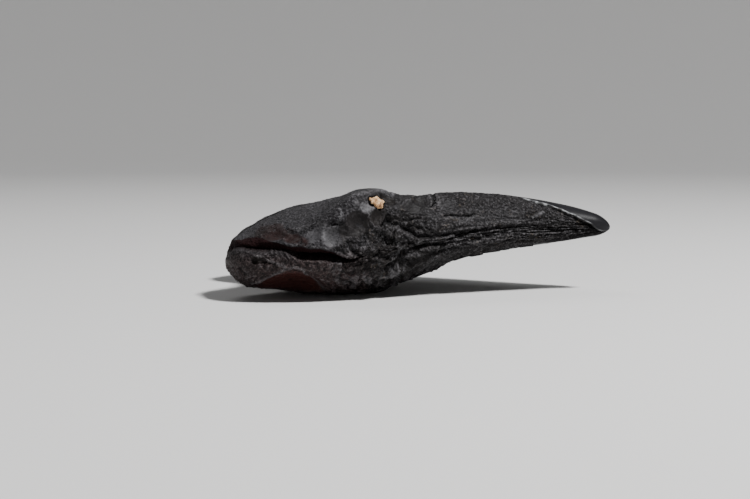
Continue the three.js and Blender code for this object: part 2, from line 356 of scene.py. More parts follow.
def line_distance(s, z, line):
    """Distance from every (s, z) to a line of points, and how far along the line that is, from 0 to 1."""
    best, share = np.full(s.shape, 1e9), np.zeros(s.shape)
    line = np.array(line, float)
    for i, (a, b) in enumerate(zip(line[:-1], line[1:])):
        d = b - a
        k = np.clip(((s - a[0]) * d[0] + (z - a[1]) * d[1]) / (d @ d), 0, 1)
        far = np.hypot(s - a[0] - k * d[0], z - a[1] - k * d[1])
        closer = far < best
        best = np.where(closer, far, best)
        share = np.where(closer, (i + k) / (len(line) - 1), share)
    return best, share


def blurred(values, times):
    """A field on the grid, smoothed over its neighbours."""
    for _ in range(times):
        values = (np.roll(values, 1, 1) + np.roll(values, -1, 1) + 2 * values) / 4
        ahead = np.concatenate([values[1:], values[-1:]])
        behind = np.concatenate([values[:1], values[:-1]])
        values = (ahead + behind + 2 * values) / 4
    return values


def cracks(points, seed, width):
    """1 along narrow winding lines and 0 between them."""
    return np.exp(-((noise(points, seed) / width) ** 2))


def chips(a, b, seed):
    """Height and painted light and shade, about -1 to 1, of tilted facets with sharp steps between, in cells
    one unit wide.
    """
    rng = np.random.RandomState(seed)
    table = rng.uniform(-1, 1, (4096, 5))
    column, row = np.floor(a).astype(int), np.floor(b).astype(int)
    best, height, shade = np.full(a.shape, 1e9), np.zeros(a.shape), np.zeros(a.shape)
    for i in (-1, 0, 1):
        for j in (-1, 0, 1):
            c, r = column + i, row + j
            cell = table[(c * 73 + r * 179) & 4095]
            da, db = a - (c + 0.5 + 0.45 * cell[..., 0]), b - (r + 0.5 + 0.45 * cell[..., 1])
            far = np.hypot(da, db)
            plane = 0.5 * cell[..., 2] + 0.9 * (cell[..., 3] * da + cell[..., 4] * db)
            height = np.where(far < best, plane, height)
            shade = np.where(far < best, np.sin(5 * (cell[..., 2] + cell[..., 3])), shade)
            best = np.minimum(best, far)
    return height, shade


# ---- the tooth

# The enamel's edges round the broken side: (s, phi in half turns)
enamel_labial_edge = along([
    (50, 0.5), (70, 0.54), (84, 0.57), (96, 0.62), (101, 0.68), (104.4, 0.718), (108.8, 0.748), (113, 0.774),
    (116.6, 0.8), (119.7, 0.84), (122.3, 0.872), (125.2, 0.932), (128.3, 1.01), (131.3, 1.18), (134.4, 1.4),
])
enamel_lingual_edge = along([
    (50, 1.45), (75, 1.42), (87, 1.36), (95, 1.33), (105, 1.34), (118, 1.36), (134.4, 1.3),
])

# Stretches of the tooth's length: where each begins, is full, starts to fade and ends
BREAK, FIBRES, SERRATED = (35, 44, 62, 77), (46, 60, 127, 133), (50, 58, 124, 131)
SMOOTHER_PART, LINGUAL_RIM = (66, 72, 100, 114), (52, 58, 108, 122)
FLAKED, DISHED, FACET, STAINED = (12, 17, 30, 34), (13, 19, 31, 37), (12, 15, 35, 38), (15, 19, 43, 54)
SHADED, SHADED_HEIGHTS, PALER_HEIGHTS = (42, 50, 74, 86), (8, 12, 23, 27), (23, 25, 28, 32)

# The rims of the broken side in half turns, from where they begin to where they are full
CROWN_RIM, ROOT_RIM, LOWER_RIM = (0.43, 0.53), (0.2, 0.5), (1.55, 1.42)

# Single features in millimetres, but for the lingual rim's place and width, which are in half turns
SADDLE_AT, SADDLE_WIDTH, SADDLE_DEPTH = 68, 2.8, 0.8
RECESS_DEPTH, RECESS_WIDTH = 1.3, 1.6
RIM_AT, RIM_WIDTH, RIM_HEIGHT = 1.33, 0.07, 0.7
SERRATION_PITCH, SERRATION_DEPTH, NICK_DEPTH = 1.3, 0.3, 1.1
HIGHEST_RELIEF = 0.8

# Where the enamel starts at the edges, how much further up at the middle of either face, and how wide the
# bare band between root and enamel is on the lingual face
ENAMEL_START, LABIAL_ARCH, LINGUAL_ARCH, BARE_BAND = 48, 5, 16, 8

# Lines that the fibres of the broken side follow, from the lingual rim to the labial rim: (s, z)
FLOW_LINES = [
    [(36, -8), (60, 0), (80, 9), (100, 13.5), (134.4, 19.4)],
    [(36, 5), (54.7, 8.5), (61.3, 11), (67.9, 12.4), (78, 15.2), (88.3, 17), (103, 18.6), (134.4, 20.8)],
    [(36, 10), (55, 14.6), (60, 14.6), (66.3, 16.6), (74.5, 17.9), (84.7, 19.4), (95.2, 20.9), (105.7, 21.6),
     (134.4, 21.6)],
    [(36, 18), (57.5, 20.4), (61, 19.4), (66.8, 20), (76.3, 20.2), (85, 21.8), (95, 23.2), (104, 23.6),
     (134.4, 22.2)],
    [(36, 30), (56.4, 28), (62.1, 25.1), (66.2, 24), (77, 23.8), (88, 25), (109, 25), (134.4, 23)],
    [(36, 34), (50, 38), (70, 37), (90, 36), (110, 32.5), (134.4, 26)],
]
FLOW_STEPS = [7, 4.5, 3.5, 3.5, 10]  # millimetres across the fibres between one line and the next

GROOVES = [
    # line of (s, z), width, depth
    ([(56.2, 29), (57.6, 26.8), (59.3, 25.8), (62.1, 25.1), (63.9, 23.7), (66.2, 22.6), (68.3, 21.5),
      (73, 20.6), (78, 21), (83.5, 21.6), (91.3, 22.7), (95.1, 23.2), (103.9, 23.5), (110, 23.4)], 0.75, 1.9),
    ([(63.9, 24.6), (67.2, 24.4), (70.2, 24.1), (73, 22.6), (75.5, 21.6)], 0.5, 1.1),
    ([(55.6, 21.6), (57.4, 20.2), (59.7, 19.2), (62.5, 18.8), (65.6, 18.9), (68, 19.6)], 0.6, 1.6),
    ([(72, 17.6), (69.6, 17.3), (66.9, 17.2), (64.6, 15.9), (62.7, 14.2), (61, 12.1), (58.6, 10.2), (56, 8)],
     1.3, 2.2),
    ([(53.6, 15.9), (55.1, 14.6), (58.9, 14.1), (60.5, 14.7), (64, 16.8)], 0.6, 1.2),
    ([(57.5, 12.3), (61, 12.6), (64.7, 15.1), (66.3, 16.6), (72.3, 17.9), (77.6, 17.6), (79.6, 19.4),
      (86.5, 19.8), (88.4, 20.6), (94.4, 21), (99, 21.6), (104, 21.8)], 0.95, 1.9),
    ([(54.7, 8.5), (61.3, 11), (67.9, 12.4), (73, 14), (76.7, 15.2), (81.8, 16.1), (86, 17.4)], 0.8, 1.6),
    ([(76, 27.9), (77.7, 27.8), (81.4, 27.6), (85.5, 27.5), (88, 27.8)], 0.45, 0.9),
    ([(23, 24.4), (24.5, 23.8), (26, 23.2), (27.6, 23), (29.5, 23.6), (31.3, 24.4), (34.9, 26)], 0.6, 0.8),
    ([(44.5, 21), (46, 17.5), (49, 16.5)], 0.6, 0.9),
    ([(41, 6), (45, 4.9), (49, 4.6), (53, 5.2), (57, 6)], 1.4, 1.2),
    ([(72.3, 35.4), (72.8, 34), (72.9, 32.6), (72.3, 31.4), (71.2, 30.7)], 0.55, 2.5),
    ([(37.6, 25.9), (39.5, 26.7), (41.5, 26.4), (43.2, 25.2)], 0.7, 1.6),
    ([(107, 22.4), (112, 21.8), (118, 21.5), (124, 21.4)], 0.8, 0.9),
    ([(16, 13.9), (17.8, 13.9), (19.6, 13.6), (21.5, 12.9)], 0.6, 0.6),
    ([(8.6, 11.6), (9.6, 9.6), (11.4, 8)], 0.9, 0.8),
]

# The upper edge of the brown facet under the cleft: (s, z)
FACET_EDGE = [
    (11, 5.2), (13.6, 6), (18, 8.2), (22.2, 10.5), (24.6, 11.6), (27, 12.1), (30.1, 11.1), (31.2, 9),
    (33, 6.6), (34.8, 4.7), (38, 3),
]

RIDGES = [
    # line of (s, z), width, height, and tint: pale lines, partly chalk and partly a painted highlight on lit
    # ridges
    ([(7, 20.3), (8.4, 20.5), (13, 21.6), (16.7, 21.7), (19.2, 21.3), (22, 20.9), (24.4, 20), (26.7, 19.5),
      (33, 18.9), (38.1, 18.1), (43, 16.3)], 0.35, 0.2, 0.06),
    ([(19.5, 22.3), (21, 22), (23.5, 21.6), (25.5, 21.5)], 0.3, 0.3, 0.4),
    ([(41.7, 31.5), (42.6, 29.8), (42.2, 28.1), (40.6, 26.2)], 0.35, 0.35, 0.8),
    ([(36.7, 26), (36.4, 24.3), (36.5, 22.4), (37.5, 21)], 0.4, 0.4, 1),
    ([(13.6, 15.4), (15.2, 15.7), (17, 15.3)], 0.4, 0.3, 0.35),
    ([(17.5, 14.8), (20, 13.9), (22.5, 12.9), (25, 12)], 0.4, 0.5, 0.35),
    (FACET_EDGE, 0.5, 0.6, 0.35),
    ([(60.3, 14), (61.3, 14.7), (62.5, 15.9)], 0.6, 0.5, 0.6),
    ([(54.5, 12.2), (56.1, 12.7), (57.5, 13.2)], 0.7, 0.6, 0.5),
    ([(57.5, 6.6), (58.6, 7.2), (61.2, 8.9), (64, 10.1)], 0.6, 0.6, 0.5),
    ([(44.8, 34.6), (48.9, 35.6), (50.8, 36.1), (54, 36.4)], 0.6, 0.5, 0.3),
    ([(46.4, 32.5), (48, 33.6)], 0.6, 0.5, 0.3),
    ([(53.2, 36.7), (55.8, 36.6), (58, 36), (60, 35)], 0.45, 0.4, 0.8),
    ([(45.5, 27.5), (47, 29.2), (49.3, 29.6), (52, 29.4)], 0.5, 0.6, 0.2),
    ([(57.6, 18.6), (61, 18.3), (66, 19)], 0.7, 0.6, 0.3),
    ([(52.7, 14.6), (55, 13.2), (59, 13.1), (62.5, 14.9), (64.5, 16)], 0.6, 0.6, 0.3),
    ([(52.7, 6.9), (57.6, 7.5), (59.8, 8.3), (62.9, 9.4), (66, 10.4), (70, 11.6)], 0.6, 0.7, 0.4),
    ([(106.6, 25.6), (107.6, 26.6), (109.1, 27.2), (110.9, 28.6)], 0.5, 0.5, 0.6),
]


def flow_across(s, z):
    """How far a point of the broken side is across the fibres, in millimetres and in flow lines."""
    heights = [along(line)(s) for line in FLOW_LINES]
    across, lines = 0, 0
    for low, high, step in zip(heights[:-1], heights[1:], FLOW_STEPS):
        share = np.clip((z - low) / (high - low), 0, 1)
        across, lines = across + share * step, lines + share
    return across, lines


def groove_relief(s, z, rest):
    """Relief of the single grooves and ridges, and the ridges' pale tint, partly chalk and partly painted
    highlight.
    """
    wander = 0.45 * noise(rest / 3.5, 81) + 0.2 * noise(rest / 1.3, 82)
    relief, tint_light_and_shade = 0, 0
    for line, width, depth in GROOVES:
        away, share = line_distance(s, z + wander, line)
        taper = span(share, 0, 0.08, 0.85, 1)
        relief = relief - depth * taper * np.exp(-((away / width) ** 2)) * (0.8 + 0.6 * noise(rest / 3, 83))
    for line, width, height, shade in RIDGES:
        away, share = line_distance(s, z + 0.6 * wander, line)
        ridge = span(share, 0, 0.1, 0.9, 1) * np.exp(-((away / width) ** 2))
        relief, tint_light_and_shade = relief + height * ridge, np.maximum(tint_light_and_shade, shade * ridge)
    return relief, tint_light_and_shade


def broken_relief(s, z, rest, enamel):
    """Relief of the broken side of the crown, in millimetres."""
    across, lines = flow_across(s, z)
    across = across + 0.7 * noise(stacked(s / 9, z / 5), 31) + 0.25 * noise(stacked(s / 3, z / 2), 32)
    low = smooth(4.35, 3.8, lines)  # 1 among the fibres, 0 on the smoother part above them
    body = span(s, *FIBRES)
    bundles = cracks(stacked(s / 21, across / 2.6, 3), 41, 0.15)
    strands = cracks(stacked(s / 10, across / 1.15, 7), 43, 0.18)
    swell = noise(stacked(s / 8, across / 2.4, 5), 45)
    nubs = creases(stacked(s / 1.8, across / 1.1, 2), 2, 47) - 0.5
    nubs = nubs + 0.6 * (creases(rest / 1.5, 2, 48, 0.8) - 0.6)
    relief = body * low * (-0.9 * bundles - 0.4 * strands + 0.35 * swell + 0.6 * nubs - 0.25)
    facets = chips(s / 4.6 + 0.15 * noise(rest / 2, 62), z / 3.4 + 0.15 * noise(rest / 2, 63), 64)[0]
    splits = cracks(stacked(s / 9, across / 3.2, 11), 65, 0.07) * smooth(-0.1, 0.3, noise(rest / 6, 66))
    grit = creases(rest / 1.7, 2, 67, 0.6) - 0.5
    relief += body * (1 - low) * (0.3 * facets + 0.4 * noise(rest / 7, 68) - 0.6 * splits + 0.3 * grit - 0.2)
    return relief * (1 - enamel)


def chaos_relief(s, z, rest):
    """Relief of the lumpy break between root and crown, and the painted light and shade of its facets."""
    across = flow_across(s, z)[0] + 0.9 * noise(stacked(s / 6, z / 5), 50)
    shift = 0.3 * noise(rest / 2.5, 51)
    facets, shade = chips(s / 2.9 + shift, across / 2 - shift, 52)
    small, small_shade = chips(s / 1.5 - shift, z / 1.2 + shift, 53)
    swell = noise(stacked(s / 5.5, across / 2.6, 1), 54)
    open_gaps = smooth(-0.25, 0.2, noise(rest / 4.5, 56))
    gaps = cracks(stacked(s / 5, across / 2.2, 4), 55, 0.09) * open_gaps
    grit = creases(rest / 1.3, 3, 57, 0.7) - 0.6
    lower = smooth(17, 14, z)
    # Painted light on some facets and painted shade on others, paler low down
    shade = 0.5 * shade + 0.5 * small_shade
    tint_light_and_shade = mix(0.2, 0.45, lower) * smooth(0.3, 0.8, shade) - 0.7 * smooth(-0.1, -0.7, shade)
    relief = mix(0.35, 0.6, lower) * facets + 0.3 * small + 0.45 * swell - 0.7 * gaps + 0.45 * grit - 0.3
    return relief, tint_light_and_shade


def root_relief(s, z, rest, lobe):
    """Relief of the root: fine pitted bone, with flaked hollows above the cleft and pebbles below it."""
    upper = smooth(17, 19.5, z)
    pitted = creases(rest / 1.5, 2, 73, 0.7) - 0.5
    sheet = 0.35 * fractal(rest / 9, 2, 71) + 0.35 * pitted
    flakes = smooth(24.5, 22.5, z + noise(rest / 4, 74)) * span(s, *FLAKED)
    flaked = flakes * (0.35 * chips(s / 3.4, z / 2.2, 75)[0] - 0.15)
    pebbles = 0.5 * (creases(rest / 2.4, 3, 76, 0.65) - 0.8)
    arcs = 0.2 * cracks(stacked(lobe / 2.4, z / 7, 2), 77, 0.15) * smooth(13, 6, lobe)
    dished = smooth(12, 10, z) * span(s, *DISHED)
    lower = (pebbles - arcs) * (1 - 0.85 * dished)
    return mix(lower + 0.3 * fractal(rest / 7, 2, 78), sheet + flaked, upper)


def porous_relief(s, rest):
    """Relief of the root away from the broken side: weathered bone with furrows and pores."""
    swell = 0.6 * fractal(rest / 11, 3, 71)
    patchy = smooth(-0.5, 0.4, noise(rest / 8, 89))
    skin_grain = 0.13 * patchy * fractal(stacked(s / 3.4, rest[..., 1] / 1.8, rest[..., 2] / 1.8), 2, 79, 0.7)
    furrows = cracks(stacked(s / 17, rest[..., 1] / 3.4, rest[..., 2] / 3.4), 80, 0.16)
    pores = smooth(0.45, 0.7, noise(rest / 2.2, 88))
    return swell + skin_grain - 0.35 * furrows - 0.55 * pores


class Grid:
    """The tooth's points before carving, as fields of one value a point, and what lies where on them."""

    def __init__(self):
        self.shares = row_shares()
        self.phi = row_angles(self.shares)
        self.turn = self.phi / PI  # phi in half turns
        self.t = np.cos(self.phi)  # from -1, the broken side, to 1, the whole edge
        base = base_line(self.t)
        self.s = mix(base, LENGTH, self.shares[:, None])
        self.lobe = self.s - base  # distance from where the root begins
        self.rest = skin(self.s, self.phi)
        self.z = self.rest[..., 2]
        self.out = normals_of(self.rest)
        self.ragged = 0.45 * fractal(self.rest / 2.2, 2, 21)
        self.side = smooth(0.25, -0.1, self.out[..., 1])  # 1 where the skin faces the broken side
        rootward = smooth(62, 48, self.s)
        upper_rim = [mix(crown, root, rootward) for crown, root in zip(CROWN_RIM, ROOT_RIM)]
        self.near = smooth(*upper_rim, self.turn) * smooth(*LOWER_RIM, self.turn)  # 1 on the broken side
        self.lay_enamel()
        # The lumpy break between root and crown
        self.chaos = (self.near * span(self.s, *BREAK)
                      * smooth(31, 28, self.z + 0.12 * np.abs(self.s - 60)) * (1 - self.enamel))

    def lay_enamel(self):
        """Finds how far inside the enamel's edge each point is, and how much it is enamel or root."""
        here = arc_lengths(self.rest, self.phi, self.phi)
        labial_edge = arc_lengths(self.rest, self.phi, enamel_labial_edge(self.s) * PI)
        lingual_edge = arc_lengths(self.rest, self.phi, enamel_lingual_edge(self.s) * PI)
        labial = np.sin(self.phi) >= 0
        arch = 1 - np.abs(self.t) ** np.where(labial, 2, 1.3)
        foot = ENAMEL_START + np.where(labial, LABIAL_ARCH, LINGUAL_ARCH) * arch
        jagged = 0.5 * fractal(self.rest / 3, 2, 11)
        edge = np.maximum(labial_edge - here, here - lingual_edge)
        self.inside = np.minimum(edge + jagged * 0.5, self.s - foot + 0.5 * jagged)
        self.enamel = smooth(-0.1, 0.15, self.inside)
        bare = np.where(labial, foot, foot - BARE_BAND * (1 - self.t * self.t))
        root = smooth(1.5, -1.5, self.s - bare)
        self.root = np.maximum(root * (1 - self.near), self.near * smooth(56, 44, self.s))


def carve_hollows(grid):
    """The points with the hollows of the broken side in them, how deep these go, and their painted light and
    shade.
    """
    points, bowls, tint_light_and_shade = grid.rest.copy(), np.zeros(grid.s.shape), np.zeros(grid.s.shape)
    for place_s, place_z, radius, depth, lift, shade in BOWLS:
        spot, normal = skin_frame(place_s, place_z)
        turned = normal * radius + np.array([0, 0, lift])
        turned /= np.linalg.norm(turned)
        middle = spot + turned * (radius - depth)
        points, deep = carve_bowl(points, middle, turned, radius + grid.ragged * 0.5)
        bowls = np.maximum(bowls, deep * grid.side)
        tint_light_and_shade = mix(tint_light_and_shade, shade, smooth(0.04, 0.25, deep / max(depth, 1)) * grid.side)
    return points, bowls, tint_light_and_shade


def edge_recess(grid):
    """Depth of the recess that the enamel's broken edge stands over, in millimetres."""
    under = np.maximum(-grid.inside, 0)
    broken_edge = grid.near * smooth(99, 104, grid.s)
    recess = RECESS_DEPTH * broken_edge * smooth(103, 111, grid.s)
    return recess * (1 - grid.enamel) * np.exp(-under / RECESS_WIDTH) * smooth(0, 0.5, under)


def skin_relief(grid, smoothed):
    """How far the skin is raised in millimetres, the facets' painted light and shade, and the ridges' tint,
    partly painted highlight.
    """
    s, z, rest, turn = grid.s, grid.z, grid.rest, grid.turn
    near, chaos, enamel = grid.near, grid.chaos, grid.enamel
    calm = span(s, *SMOOTHER_PART) * smooth(21, 25, z)
    relief = near * broken_relief(s, z, rest, enamel) * (1 - 0.75 * chaos) * (1 - 0.55 * calm)
    rough, patches = chaos_relief(s, z, rest)
    relief += 1.35 * chaos * rough
    rim = np.exp(-(((turn - RIM_AT) / RIM_WIDTH) ** 2)) * span(s, *LINGUAL_RIM)
    relief += RIM_HEIGHT * rim * chips(s / 3.6 + 0.2 * noise(rest / 3, 58), grid.phi * 4, 59)[0]
    relief += (1 - chaos) * near * smooth(52, 42, s) * root_relief(s, z, rest, grid.lobe)
    relief += (1 - near) * (grid.root * smooth(60, 46, s)) * porous_relief(s, rest)
    relief += ((1 - enamel) * span(turn, 0.38, 0.46, 1.45, 1.55)
               * 0.16 * fractal(rest / 0.8, 2, 87))
    relief *= 1 - 0.75 * smoothed
    lines, ridge_chalk_and_highlight = groove_relief(s, z, rest)
    relief += grid.side * lines * (1 - enamel) * (1 - 0.7 * smoothed)
    relief -= 0.12 * (1 - near) * enamel
    saddle = SADDLE_DEPTH * np.exp(-(((s - SADDLE_AT) / SADDLE_WIDTH) ** 2))
    relief -= saddle * span(turn, 0.08, 0.46, 0.6, 0.75)
    relief -= edge_recess(grid)
    return relief, patches, ridge_chalk_and_highlight


def tone_with_light_and_shade(grid, tint_light_and_shade, patches, ridge_chalk_and_highlight, smoothed):
    """The hollows' and facets' painted light and shade, painted shade on shaded parts, paler and duller
    parts, and the ridges' tint.
    """
    s, z, near = grid.s, grid.z, grid.near
    # Painted shade: on part of the break, on the lower rim that faces down and on the wall under the enamel's
    # edge
    shaded = near * span(s, *SHADED) * span(z, *SHADED_HEIGHTS)
    shaded = np.maximum(shaded, near * smooth(56, 64, s) * smooth(1.1, 1.2, grid.turn))
    shaded = np.maximum(shaded, near * smooth(101, 108, s) * smooth(1.12, 1, grid.turn))
    dull = grid.root * smooth(60, 46, s) * smooth(17, 19, z)
    dull = dull * (smooth(-0.1, 0.5, noise(grid.rest / 6, 86)) + smooth(18, 8, grid.lobe))
    paler = near * smooth(66, 72, s) * span(z, *PALER_HEIGHTS)
    parts = patches * grid.chaos - 0.34 * shaded + 0.15 * paler - 0.2 * dull
    tint_light_and_shade = tint_light_and_shade + parts * (1 - smoothed)
    return np.where(tint_light_and_shade > -0.3, np.maximum(tint_light_and_shade, grid.side * ridge_chalk_and_highlight), tint_light_and_shade)


def painted_edge_highlight(grid):
    """How strong the painted highlight along the enamel's broken edge is, from 0 to 1."""
    chipped = smooth(-0.35, 0.25, noise(grid.rest / 1.8, 97) + 0.5 * noise(grid.rest / 0.8, 98))
    lowest = mix(-0.3, -0.05, smooth(108, 116, grid.s))
    edge_highlight = smooth(lowest, lowest + 0.15, grid.inside) * smooth(0.5, 0.3, grid.inside)
    edge_highlight = edge_highlight * mix(0.15, 0.9, chipped)
    return edge_highlight * grid.near * smooth(102, 105, grid.s) * smooth(1.25, 1.15, grid.turn)


def serrations(grid):
    """Depth of the worn serrations of the whole edge, in millimetres."""
    s = grid.s
    edge = np.exp(-((np.minimum(grid.phi, 2 * PI - grid.phi) / 0.09) ** 2))
    edge = edge * span(s, *SERRATED)
    teeth = SERRATION_DEPTH * edge * (0.5 + 0.5 * np.cos(2 * PI * s / SERRATION_PITCH))
    teeth = teeth * (0.6 + 0.5 * noise(grid.rest / 7, 91))
    return teeth + NICK_DEPTH * edge * smooth(0.35, 0.6, noise(stacked(s / 5.5), 92))


def cleft_gap(grid, points):
    """How far the cleft goes in at each point, as an undercut or as its gap, and which of the two it is."""
    s, z, phi = grid.s, grid.z, grid.phi
    upper, start, lower = cleft_heights(s)
    open_part = smooth(57, 50, s)
    below = np.clip(upper - z, 0, upper - start)
    column, (first, second, last) = np.arange(COLUMNS), CLEFT_COLUMNS
    fitted = ((grid.shares > FIT_START[1]) & (grid.shares < FIT_END[1]))[:, None]
    inside_lips = (z < upper - 0.01) & (z > lower + 0.09) & (phi > 0.5 * PI) & (phi < 1.5 * PI)
    inside_lips = np.where(fitted, (column > first) & (column < last), inside_lips)
    undercut = UNDERCUT_SLOPE * below * open_part * inside_lips
    in_gap = inside_lips * np.where(fitted, column > second, smooth(0, 0.12, start - z)) * open_part
    floor_depth = np.maximum(cleft_floor(s) - points[..., 1], 0)
    return mix(undercut, np.maximum(floor_depth, undercut), in_gap), in_gap


def stains_and_red_light(grid, scoop):
    """How brown the scoop over the cleft, the facet under it and the skin beside that are, from 0 to 1."""
    s, z = grid.s, grid.z
    facet = grid.near * smooth(0.2, -0.7, z - along(FACET_EDGE)(s) + 0.5 * grid.ragged)
    facet = facet * span(s, *FACET)
    beside = grid.near * smooth(11.5, 9, z) * span(s, *STAINED)
    # The brown is partly a stain and partly painted shade and painted reflected red light
    return np.maximum(np.maximum(0.5 * scoop * grid.side, facet), 0.35 * beside)


def tooth_fields():
    """The tooth's points after carving, and the fields that its material reads."""
    grid = Grid()
    points, bowls, tint_light_and_shade = carve_hollows(grid)
    smoothed = smooth(0.1, 0.6, bowls)
    relief, patches, ridge_chalk_and_highlight = skin_relief(grid, smoothed)
    tint_light_and_shade = tone_with_light_and_shade(grid, tint_light_and_shade, patches, ridge_chalk_and_highlight, smoothed)
    ends = smooth(0, 0.0015, grid.shares)[:, None]
    relief = np.where(relief > 0, HIGHEST_RELIEF * np.tanh(relief / HIGHEST_RELIEF), relief)
    relief = relief * smooth(0, 1.2, grid.z) * ends
    points = points + relief[..., None] * grid.out
    points[..., 1] -= serrations(grid)
    gap, in_gap = cleft_gap(grid, points)
    points[..., 1] += gap
    points[..., 2] += gap * in_gap * CLEFT_RISE

    scoop = smooth(2, 1.2, line_distance(grid.s, grid.z + 0.6 * noise(grid.rest / 2.2, 85), BROWN_SCOOP)[0])
    height = relief - 0.1 * bowls
    standing = 2.2 * (height - blurred(height, 6)) + 1.6 * (height - blurred(height, 24))
    fields = {
        "enamel": grid.enamel,
        "root": grid.root,
        # Raised parts paler, partly wear and partly painted highlight; painted shade in the crevices
        "wear_light_and_shade": np.clip(standing, -1, 1),
        # Painted shade with painted reflected red light in the cleft's undercut
        "under": smooth(0.05, 0.3, gap),
        # Painted shadow deep in the cleft's gap
        "deep": smooth(4, 9, gap),
        # Painted light and shade with some real tone, and the scoop painted darker
        "tint_light_and_shade": tint_light_and_shade - 0.45 * scoop * grid.side,
        # Painted highlight along the enamel's broken edge
        "edge_highlight": painted_edge_highlight(grid),
        "plain": np.maximum(smoothed, 0.55 * (1 - grid.near)),
        # Brown stains, partly painted shade and painted reflected red light
        "stain_and_red_light": stains_and_red_light(grid, scoop),
        # The lower root's warmth, partly painted reflected red light
        "warm_and_red_light": smooth(19, 13, grid.z) * smooth(64, 48, grid.s) * grid.near,
    }
    return points, fields


BOX_LOW, BOX_HIGH = (np.array(corner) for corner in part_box("tooth"))


def to_frame(points):
    """From the tooth's own millimetres to metres in the CAD frame."""
    places = np.linspace(0, LENGTH, 500)
    middle = (np.min(broken_side(places)) + np.max(whole_side(places))) / 2
    start = np.array([LENGTH - BOX_HIGH[0] / MM, middle - (BOX_LOW[1] + BOX_HIGH[1]) / 2 / MM, 0])
    return (points - start) * MM


def show(name, data):
    """A new object in the scene."""
    shown = bpy.data.objects.new(name, data)
    bpy.context.scene.collection.objects.link(shown)
    return shown


def smooth_mesh(name, vertices, faces):
    """A mesh that is shaded smooth."""
    mesh = bpy.data.meshes.new(name)
    mesh.from_pydata(vertices, [], faces)
    mesh.shade_smooth()
    return mesh


def add_field(mesh, name, values):
    """Gives every point of a mesh a value that its material can read."""
    mesh.attributes.new(name, "FLOAT", "POINT").data.foreach_set("value", values.astype(np.float32))


def cut_at(face, ends):
    """A face at an end of the fold, cut into triangles from that end so that no two lie on each other."""
    for end in ends:
        if end in face:
            at = face.index(end)
            turned = face[at:] + face[:at]
            return [(turned[0], turned[i], turned[i + 1]) for i in range(1, len(face) - 1)]
    return [face]


def grid_mesh(name, points, tip, fields):
    """One closed mesh: rows of points, the first folded flat on itself, and a point at the tip."""
    rows, columns = points.shape[:2]
    index = np.arange(rows * columns).reshape(rows, columns)
    k = np.arange(columns)
    index[0] = np.minimum(k, (columns - k) % columns)
    after = np.roll(index, -1, 1)
    quads = np.stack([index[:-1], after[:-1], after[1:], index[1:]], -1).reshape(-1, 4)
    fan = np.stack([index[-1], after[-1], np.full(columns, rows * columns)], -1)
    vertices = np.concatenate([points.reshape(-1, 3), tip[None]])
    used = np.unique(np.concatenate([quads.ravel(), fan.ravel()]))
    renumber = np.zeros(len(vertices), int)
    renumber[used] = np.arange(len(used))
    faces = [tuple(dict.fromkeys(q)) for q in renumber[quads].tolist()] + renumber[fan].tolist()
    faces = [part for face in faces for part in cut_at(face, (0, columns // 2)) if len(part) > 2]
    mesh = smooth_mesh(name, vertices[used].tolist(), faces)
    for key, field in fields.items():
        add_field(mesh, key, np.concatenate([field.ravel(), [field[-1].mean()]])[used])
    return show(name, mesh)


def make_tooth():
    """The tooth as one closed mesh, kept inside the CAD box."""
    points, fields = tooth_fields()
    # Mirrored points of the first row meet, so that it folds flat
    points[0] = (points[0] + np.roll(points[0][::-1], 1, 0)) / 2
    placed = np.clip(to_frame(points), BOX_LOW, BOX_HIGH)
    tip = placed[-1].mean(0)
    tip[0] = BOX_HIGH[0]
    tooth = grid_mesh("tooth_surface", placed, tip, fields)
    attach(tooth, "root")
    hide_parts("tooth")
    tooth.data.materials.append(tooth_material())


# ---- the sediment

# Lumps of sediment, pressed together: (s, z, radius, how far the middle stands out of the skin)
SEDIMENT_LUMPS = [
    (51.9, 34.2, 0.5, -0.25), (53.3, 34, 0.95, -0.6), (54.2, 34.4, 0.95, -0.6), (54.5, 33.2, 1.2, -0.75),
    (54.2, 32, 0.85, -0.4), (55.4, 31.9, 0.85, -0.4), (55.7, 33.3, 0.7, -0.35), (52.7, 33.3, 0.5, -0.25),
]
SEDIMENT_SUBDIVISIONS = 6
LUMP_BLEND = 0.25


def reach_of_lumps(way, middle, centres, radii):
    """How far out of the middle each way leaves the lumps, whose joins are rounded off."""
    reach = np.zeros(len(way))
    for _ in range(60):
        at = middle + way * reach[:, None]
        gaps = np.linalg.norm(at[:, None] - centres, axis=2) - radii
        blend = -np.log(np.exp(-gaps / LUMP_BLEND).sum(1)) * LUMP_BLEND
        reach += np.maximum(-blend, 0) * 0.5 + 0.004 * (blend < 0)
    return reach


def make_sediment():
    """A crumbly mass: a ball whose points are pushed out to the surface of the joined lumps."""
    spots = [(*skin_frame(s, z), stand) for s, z, _, stand in SEDIMENT_LUMPS]
    centres = np.array([spot + out * stand for spot, out, stand in spots])
    radii = np.array([lump[2] for lump in SEDIMENT_LUMPS])
    middle = centres[[1, 3]].mean(0)
    mesh = bpy.data.meshes.new("sediment")
    ball = bmesh.new()
    bmesh.ops.create_icosphere(ball, subdivisions=SEDIMENT_SUBDIVISIONS, radius=1)
    ball.to_mesh(mesh)
    ball.free()
    way = np.array([v.co for v in mesh.vertices])
    at = middle + way * reach_of_lumps(way, middle, centres, radii)[:, None]
    crumbs = 0.26 * (creases(at / 0.9, 3, 101, 0.6) - 0.7) + 0.25 * noise(at / 1.4, 102)
    at = at + way * crumbs[:, None]
    mesh.vertices.foreach_set("co", to_frame(at).astype(np.float32).ravel())
    # Raised crumbs paler with a painted highlight, painted shade in the hollows
    add_field(mesh, "wear_light_and_shade", (crumbs - crumbs.mean()) / crumbs.std())
    mesh.update()
    mesh.shade_smooth()
    piece = show("sediment_surface", mesh)
    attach(piece, "root")
    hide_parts("sediment_plug")
    piece.data.materials.append(sediment_material())


# ---- materials

